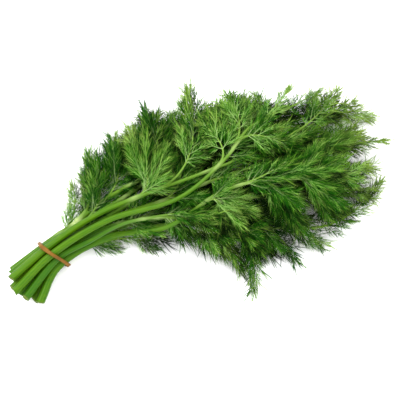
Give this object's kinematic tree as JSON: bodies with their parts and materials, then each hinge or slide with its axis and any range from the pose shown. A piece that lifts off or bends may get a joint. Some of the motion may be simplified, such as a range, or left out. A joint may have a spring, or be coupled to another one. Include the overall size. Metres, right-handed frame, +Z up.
{
  "type": "dill bunch",
  "caption": "Bunch of fresh cut dill lying down: long green stems with feathery leaves, held near their cut ends by a rubber band.",
  "frame": {"origin": "on the surface that the bunch lies on, under the middle of the rubber band", "axes": "+Z up, +X along the bunch from the cut ends to the leaf tips"},
  "size_m": [0.3426, 0.1898, 0.0796],
  "materials": {
    "dill": "satin, light green ribbed stems and deeper green thread leaves",
    "band": "satin orange-brown natural rubber"
  },
  "bodies": {
    "root": {"leafy_stem_1": "dill", "leafy_stem_2": "dill", "leafy_stem_3": "dill", "leafy_stem_4": "dill", "leafy_stem_5": "dill", "leafy_stem_6": "dill", "leafy_stem_7": "dill", "leafy_stem_8": "dill", "leafy_stem_9": "dill", "leafy_stem_10": "dill", "leafy_stem_11": "dill", "leafy_stem_12": "dill", "rubber_band": "band"}
  },
  "joints": []
}
